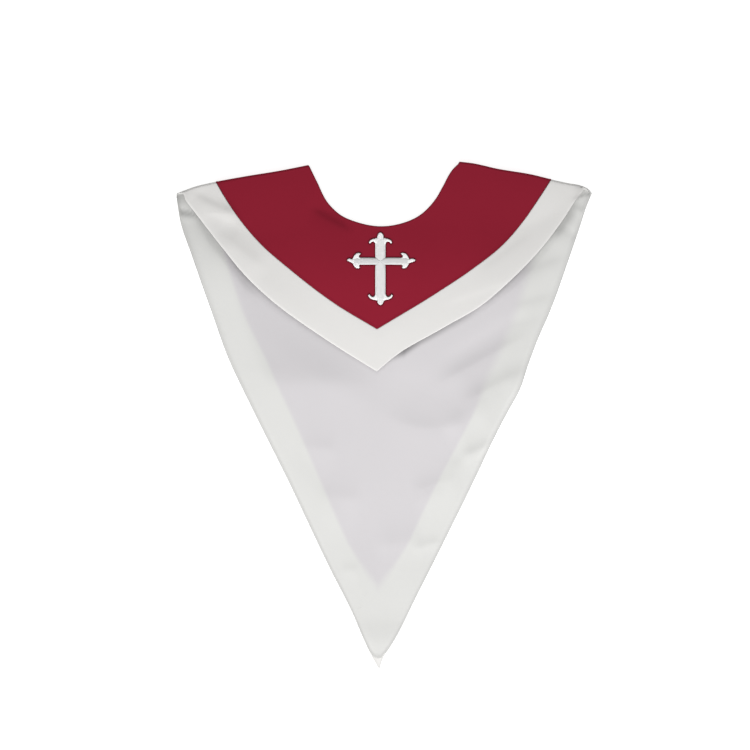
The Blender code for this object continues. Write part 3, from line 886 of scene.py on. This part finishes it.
def strip(inner, outer, places, on_front, grid):
    """Both faces of a strip, with each point's distance in metres from its two edges."""
    width = width_of(inner, outer)
    across = places_across(width, *grid)
    depths = (0.0, FRONT_CLOTH) if on_front else (BACK_CLOTH, 0.0)
    faces = [panel(inner, outer, places, across, depth, on_front) for depth in depths]
    from_inner = with_folds(across * width[:, None])
    from_outer = with_folds((1 - across) * width[:, None])
    return *faces, from_inner, from_outer


def beside_seam(seam, side):
    """The edge of the cloth on one side of a seam, -1 for the red one and 1 for the white."""
    return offset(seam, (GAP + side * SEAM_GAP) / 2)


def dip(distance, depth, reach):
    """How far cloth or its tone sinks beside an edge: the depth at the edge, falling as e to
    the power of minus the square of the distance over the reach."""
    return -depth * np.exp(-((distance / reach) ** 2))


def ridge(distance, height, end, run):
    """How far cloth stands up beside a sewn edge: the height until a run before the end, and
    nothing past the end."""
    return height * fade((end - distance) / run)


def corner_painted_shade(top):
    """Painted shade on cloth in the crumpled corners at both ends of the shoulders."""
    tone = np.ones(top.shape[:2])
    for rail, darkness in zip(SHOULDERS, CORNER_DARKNESS):
        away = np.hypot(*(top[..., axis] - rail[-1][axis] * MM for axis in (0, 1)))
        tone -= darkness * np.exp(-((away / CORNER_REACH) ** 2))
    return tone


def slope_painted_shade(x, y, wave):
    """Painted shade where cloth rises towards the point, and painted light where it falls."""
    rise = (wave(x, y - SLOPE_STEP) - wave(x, y + SLOPE_STEP)) / (2 * SLOPE_STEP)
    return 1 - SLOPE_DARKNESS * rise


def front_painted_shading(top, darkness):
    """Painted light and shade on the front's cloth, darker towards the shoulders by the share."""
    x, y = top[..., 0], top[..., 1]
    up = fade((y - SHOULDER_DARK_START) / SHOULDER_DARK_RUN)
    folds = slope_painted_shade(x, y, lambda x, y: relief(x, y, FRONT_FOLDS))
    shades = 1 - relief(x, y, FRONT_PAINTED_SHADES, SHADE_ROUNDNESS) / MM
    return corner_painted_shade(top) * folds * shades * (1 - darkness * up)


def from_cross(top):
    """Distance of the red cloth from the embroidery's outline, in widths of the painted shadow
    beside it.
    """
    x, y = top[..., 0], top[..., 1]
    gap = np.full(x.shape, NO_GAP_SHADOW)
    near = np.hypot(x - CROSS_CENTRE[0] * MM, y - CROSS_CENTRE[1] * MM) < CROSS_REACH
    points = top[near][:, None, :2]
    closest = np.full(len(points), CROSS_REACH)
    for area, _, _ in cross_fills():
        start = (area + CROSS_CENTRE) * MM
        run = np.roll(start, -1, axis=0) - start
        along = np.sum((points - start) * run, axis=-1) / np.sum(run * run, axis=-1)
        nearest = start + np.clip(along, 0, 1)[..., None] * run
        closest = np.minimum(closest, np.linalg.norm(points - nearest, axis=-1).min(axis=1))
    gap[near] = closest / CROSS_SHADOW_WIDTH
    return gap


def front_pieces():
    """The front's red centre and white band, with the sewn edge's roll and the seam's groove."""
    seam = beside_seam(SEAM_FRONT, -1)
    top, bottom, inside, outside = strip(NECK_FRONT, seam, CENTRE_PLACES, True, FRONT_RED_GRID)
    height = ridge(outside, *RED_SEAM_RIDGE) + dip(inside, *RED_NECK_DIP)
    top = raise_top(top, bottom, height)
    red = closed_cloth("front_red_panel", top, bottom, RED, "front_centre")
    # Painted shade in the corners, on the folds, towards the shoulders and along the neckline, and
    # a painted shadow beside the cross
    tone = front_painted_shading(top, RED_SHOULDER_DARKNESS) + dip(inside, *NECK_SHADE)
    # Painted light that makes the red lighter lower down, away from its shoulders
    tone += RED_PAINTED_LIGHT * fade((RED_PAINTED_LIGHT_TOP - top[..., 1]) / RED_PAINTED_LIGHT_RUN)
    paint_cloth(red, tone, from_cross(top), CROSS_SHADOW_DEPTH)
    seam = beside_seam(SEAM_FRONT, 1)
    top, bottom, inside, outside = strip(seam, EDGE_FRONT, BAND_PLACES, True, FRONT_WHITE_GRID)
    x = np.abs(top[..., 0])
    depth = WHITE_ROLL_DEPTHS[0] + WHITE_ROLL_DEPTHS[1] * fade(x / EDGE_LIFT_RUN)
    height = dip(inside, *WHITE_SEAM_DIP) - ridge(outside, depth, *WHITE_ROLL)
    top = raise_top(top, bottom, height)
    white = closed_cloth("front_white_band", top, bottom, WHITE, "front_band")
    # Painted shade on the band, and along its seam near the point
    tone = front_painted_shading(top, WHITE_SHOULDER_DARKNESS)
    tone += dip(inside, *POINT_SHADE) * (1 - fade(x / POINT_SHADE_HALF_LENGTH))
    paint_cloth(white, tone, rim_tone=FRONT_RIM_TONE)
    return red, white


def back_pieces():
    """The outer back, face down: its red centre and its white band."""
    seam = beside_seam(SEAM_BACK, -1)
    top, bottom, _, _ = strip(NECK_BACK, seam, CENTRE_PLACES, False, BACK_RED_GRID)
    red = closed_cloth("back_red_panel", top, bottom, RED, "back_centre")
    # Painted shade in the corners
    paint_cloth(red, corner_painted_shade(top))
    seam = beside_seam(SEAM_BACK, 1)
    top, bottom, _, outside = strip(seam, EDGE_BACK, BAND_PLACES, False, BACK_WHITE_GRID)
    white = closed_cloth("back_white_band", top, bottom, WHITE, "back_band")
    # Painted shade in the corners and along the outer edge
    paint_cloth(white, corner_painted_shade(top) + dip(outside, *BORDER_SHADE))
    return red, white


def over_red(x, y):
    """How much of the red centre shows through the lining: all of it inside its seam, which
    softens towards the point."""
    height, shrink, soft = np.array(SEE_THROUGH_END).T * MM
    end = inside_of(SEAM_BACK, x, y) - np.interp(y, height, shrink)
    end += SEAM_ALLOWANCE * fade((y - ALLOWANCE_START) / ALLOWANCE_RUN) * (x < 0)
    right = fade(y / RIGHT_RUN) * (x > 0)
    width = np.interp(y, height, soft) + RIGHT_SOFTNESS * right
    return fade(0.5 + (end - RIGHT_SHRINK * right) / width / 2)


def lining_piece():
    """The back's lining, which shows the red centre under it as a faint lilac V."""
    edge = lining_edge()
    first = width_of(NECK_BACK, SEAM_BACK)
    second = width_of(SEAM_BACK, edge)
    start = LINING_NECK_INSET / first[:, None]
    inner = start + (1 - start) * np.linspace(0, 1, LINING_CENTRE_COLUMNS)
    outer = places_across(second, *LINING_BORDER_GRID)
    seam_place = (first / (first + second))[:, None]
    across = np.hstack([inner * seam_place, seam_place + (1 - seam_place) * outer])
    staged = np.hstack([inner, 1 + outer])
    top, bottom = [
        two_stage(NECK_BACK, SEAM_BACK, edge, staged, across, LINING_PLACES, depth)
        for depth in (LINING_TOP, LINING_LOW)
    ]
    from_outer = with_folds(np.clip(2 - staged, 0, 1) * second[:, None])
    top = raise_top(top, bottom, ridge(from_outer, *LINING_HEM))
    made = closed_cloth("back_lining_cloth", top, bottom, LINING, "back_lining")
    x, y = top[..., 0], top[..., 1]
    away = below_front(x, y)
    # Painted light and shade of the lining: shade in the corners, on the folds' slopes, beside the
    # front's edge, on the upper strips, of the loose fold, beside the folds, in the corner creases
    # and along the outer edge, and light where slopes fall or shares are negative. It is also
    # darker towards the tip.
    tone = corner_painted_shade(top) * slope_painted_shade(x, y, lining_wave)
    tone *= 1 + dip(away, beside_front(x, SHADE_DEPTH), beside_front(x, SHADE_WIDTH) * MM)
    strip_shade = np.where(x < 0, *STRIP_DARKNESS)
    tone *= 1 - strip_shade * fade((y - STRIP_DARK_START) / STRIP_DARK_RUN)
    tone *= 1 - TIP_DARKNESS * fade((TIP_DARK_START - y) / TIP_DARK_RUN)
    loose = relief(x, y, LOOSE_FOLD_SHADE) / MM
    tone *= 1 - loose * fade(1 + inside_of(SEAM_BACK, x, y) / LOOSE_FOLD_SHADE_MARGIN)
    tone *= 1 - relief(x, y, LINING_PAINTED_SHADES) / MM
    tone *= 1 - relief(x, y, CORNER_CREASE_SHADES, CREASE_ROUNDNESS) / MM
    tone += dip(from_outer, *BORDER_SHADE)
    # The painted shadow in the gap beside the front's edge
    gap = away / (beside_front(x, GAP_SHADOW_WIDTH) * MM)
    paint_cloth(made, tone, gap, beside_front(x, GAP_SHADOW_DEPTH))
    paint(made, "over_red", around(over_red(x, y)))
    return made


def stitch_lines(outline, turn, pitch):
    """Straight stitches that fill an outline, side by side, as (start, end) pairs.

    The outline is turned so that the stitches run along x. Each line at a height t crosses
    the outline's edges at x1 + (t - y1) / (y2 - y1) * (x2 - x1), and the crossings are
    paired from left to right.
    """
    cos, sin = np.cos(turn), np.sin(turn)
    spin = np.array([[cos, -sin], [sin, cos]])
    local = outline @ spin
    x1, y1 = local.T
    x2, y2 = np.roll(local, -1, axis=0).T
    heights = np.arange(y1.min() + pitch / 2, y1.max(), pitch)[:, None]
    crosses = (y1 <= heights) != (y2 <= heights)
    rise = np.where(y1 == y2, 1.0, y2 - y1)
    at = np.where(crosses, x1 + (heights - y1) / rise * (x2 - x1), np.inf)
    at = np.pad(np.sort(at, axis=1), ((0, 0), (0, 2)), constant_values=np.inf)
    at = at[:, : 2 * CROSSING_PAIRS].reshape(-1, CROSSING_PAIRS, 2)
    long_enough = at[..., 1] - at[..., 0] > SHORTEST_STITCH
    rows, pairs = np.nonzero(np.isfinite(at[..., 1]) & long_enough)
    ends = at[rows, pairs]
    level = heights[rows]
    start = np.hstack([ends[:, :1], level]) @ spin.T
    end = np.hstack([ends[:, 1:], level]) @ spin.T
    return start, end


def thread_tubes(start, end, low, high, radius, rng):
    """Closed thread tubes: each rises from low over high and comes back down to low.

    At s from 0 to 1 the height is low + (high - low) * (1 - (2s - 1)^6)^0.5, and the tube's
    section is a hexagon that narrows at both ends.
    """
    count = len(start)
    along = unit(end - start)
    inset = THREAD_INSET + rng.normal(0.0, THREAD_LOOSENESS, (count, 2))
    start = start + along * inset[:, :1]
    end = end - along * inset[:, 1:]
    s = ((1 - np.cos(np.linspace(0, np.pi, THREAD_BENDS))) / 2)[:, None]
    plan = start[:, None] * (1 - s) + end[:, None] * s
    lift = np.sqrt(np.maximum(1 - (2 * s - 1) ** ARCH_POWER, 0.0))
    top = high + rng.normal(0.0, THREAD_UNEVENNESS, (count, 1, 1))
    height = low + (top - low) * lift
    slim = radius * (THREAD_END + (1 - THREAD_END) * lift)
    turns = np.linspace(0, 2 * np.pi, THREAD_SIDES, endpoint=False)
    side = np.stack([-along[:, 1], along[:, 0]], axis=-1)
    spread = side[:, None, None] * (slim * np.cos(turns))[..., None]
    points = np.concatenate(
        [plan[:, :, None] + spread, (height + slim * np.sin(turns))[..., None]], axis=-1
    )
    index = np.arange(points[..., 0].size).reshape(points.shape[:-1])
    ahead = np.roll(index, -1, axis=2)
    walls = np.stack([index[:, :-1], ahead[:, :-1], ahead[:, 1:], index[:, 1:]], axis=-1)
    faces = walls.reshape(-1, 4).tolist() + index[:, 0, ::-1].tolist() + index[:, -1].tolist()
    return points.reshape(-1, 3), faces


def cross_fills():
    """The cross's areas, each with its stitches' turn and painted light and shade: hooks, buds and
    mitred bars.
    """
    fills = []
    for (along_x, along_y), half, start, length, bud, shift, ends in CROSS_ARMS:
        along = np.array([along_x, along_y])
        left = np.array([-along_y, along_x])
        turn = np.arctan2(left[1], left[0])
        upright = abs(along_y)
        for name, side in zip(ends, (1, -1)):
            hook = np.array(ARM_ENDS[name])
            hook = np.vstack([hook, (hook[-1, 0] + HOOK_ROOT, hook[-1, 1]), HOOK_START])
            area = along * (start + hook[:, :1]) + left * side * (half + hook[:, 1:])
            slant = np.pi / 2 if upright else HOOK_SLANT * side
            fills.append((area, turn + slant, END_TONE))
        root = length - bud * BUD_ROUNDNESS
        round_end = np.stack(
            [root + bud * BUD_ROUNDNESS * np.cos(BUD_TURNS), bud * np.sin(BUD_TURNS) + shift],
            axis=-1,
        )
        neck = half - BUD_NARROWER[upright]
        back, front = start + BUD_ROOT[0], start + BUD_ROOT[1]
        root_end = [(back, -neck), (back, neck), (front, neck)]
        bud_area = np.vstack([root_end, round_end, (front, -neck)])
        fills.append((along * bud_area[:, :1] + left * bud_area[:, 1:], turn, END_TONE))
    half_y, half_x = CROSS_ARMS[0][1], CROSS_ARMS[1][1]
    right, top, left_end, low = [arm[2] for arm in CROSS_ARMS]
    for reach, side in ((top, 1), (-low, -1)):
        corner = side * half_y
        bar = [(-half_x, corner), (-half_x, reach), (half_x, reach), (half_x, corner), (0, 0)]
        fills.append((np.array(bar), 0.0, UPRIGHT_TONE))
    for reach, side in ((right, 1), (-left_end, -1)):
        corner = side * (half_x - MITRE_OVERLAP)
        bar = [(corner, half_y), (reach, half_y), (reach, -half_y), (corner, -half_y),
               (-side * MITRE_OVERLAP, 0)]
        fills.append((np.array(bar), np.pi / 2, LEVEL_TONE))
    return fills


def cross_piece():
    """The embroidered cross: a loose underlay crossed by satin stitches on top of it."""
    rng = np.random.default_rng(STITCH_SEED)
    points, faces, tones, total = [], [], [], 0
    for order, (area, turn, tone) in enumerate(cross_fills()):
        area = (area + CROSS_CENTRE) * MM
        for layer in (UNDERLAY, SATIN):
            spin, pitch, low, high, radius = layer
            start, end = stitch_lines(area, turn + spin, pitch)
            if layer is UNDERLAY:
                trim = unit(end - start) * UNDERLAY_INSET
                kept = np.linalg.norm(end - start, axis=1) > UNDERLAY_SHORTEST
                start, end = (start + trim)[kept], (end - trim)[kept]
            else:
                high += AREA_RISE * order
            made, walls = thread_tubes(start, end, low, high, radius, rng)
            points.append(made)
            faces += [[corner + total for corner in wall] for wall in walls]
            tones.append(np.full(len(made), tone))
            total += len(made)
    points = np.vstack(points)
    made = add_mesh("cross_stitches", points, faces, THREAD, "cross")
    tones = np.concatenate(tones)
    # Painted light and shade of the satin, by its stitches' direction
    paint(made, "tone", tones)
    paint(made, "gap", np.full(len(tones), NO_GAP_SHADOW))
    paint(made, "gap_shadow_depth", np.zeros(len(tones)))


def floor():
    """A plain pale floor."""
    bpy.ops.mesh.primitive_plane_add(size=FLOOR_SIZE, location=(0.0, 0.0, FLOOR_LEVEL))
    made = bpy.context.object
    made.name = "floor"
    paper = Nodes("pale_floor")
    paper.set("Base Color", rgb(FLOOR_GREY, FLOOR_GREY, FLOOR_GREY))
    paper.set("Roughness", 0.9)
    paper.set("Specular IOR Level", 0.1)
    paper.set("Emission Color", rgb(1.0, 1.0, 1.0))
    paper.set("Emission Strength", FLOOR_GLOW)
    made.data.materials.append(paper.material)


def lights():
    """Soft light, mostly from the point's side, and an even white world."""
    for name, place, size, power in LAMPS:
        lamp = bpy.data.lights.new(name, "AREA")
        lamp.size = size
        lamp.energy = power
        made = bpy.data.objects.new(name, lamp)
        made.location = place
        made.rotation_euler = (-Vector(place)).to_track_quat("-Z", "Y").to_euler()
        bpy.context.scene.collection.objects.link(made)
    world = bpy.data.worlds.new("studio")
    world.use_nodes = True
    background = world.node_tree.nodes["Background"]
    background.inputs["Color"].default_value = rgb(1.0, 1.0, 1.0)
    background.inputs["Strength"].default_value = WORLD_LIGHT
    bpy.context.scene.world = world


def camera():
    """A camera straight above, as the photo was taken, and plain view colours."""
    lens = bpy.data.cameras.new("camera")
    lens.sensor_width = SENSOR_WIDTH
    lens.lens = LENS
    made = bpy.data.objects.new("camera", lens)
    made.location = CAMERA_PLACE
    bpy.context.scene.collection.objects.link(made)
    bpy.context.scene.camera = made
    bpy.context.scene.view_settings.view_transform = "Standard"
    bpy.context.scene.view_settings.look = "None"


floor()
lights()
camera()
front_red, front_white = front_pieces()
back_red, back_white = back_pieces()
lining = lining_piece()
cross_piece()
